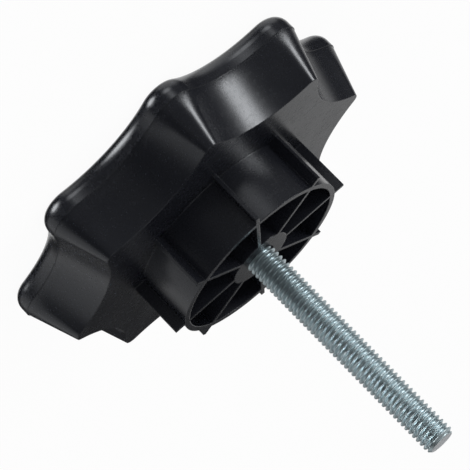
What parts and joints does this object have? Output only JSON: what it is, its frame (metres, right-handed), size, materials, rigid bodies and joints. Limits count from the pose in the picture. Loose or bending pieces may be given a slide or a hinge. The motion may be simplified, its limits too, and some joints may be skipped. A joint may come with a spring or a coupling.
{
  "type": "spare wheel clamp bolt",
  "caption": "Lobed plastic hand knob with a threaded steel stud and a ribbed centring hub, for clamping a spare wheel in its well.",
  "frame": {"origin": "centre of the knob's flat top, on which the bolt stands", "axes": "+Z along the stud towards its free end, +X through the tip of a lobe"},
  "size_m": [0.0974, 0.0974, 0.0932],
  "materials": {
    "moulded_plastic": "black moulded plastic, semi-gloss",
    "zinc_plated_steel": "bright zinc plated"
  },
  "bodies": {
    "root": {"knob": "moulded_plastic", "stud": "zinc_plated_steel"}
  },
  "joints": []
}
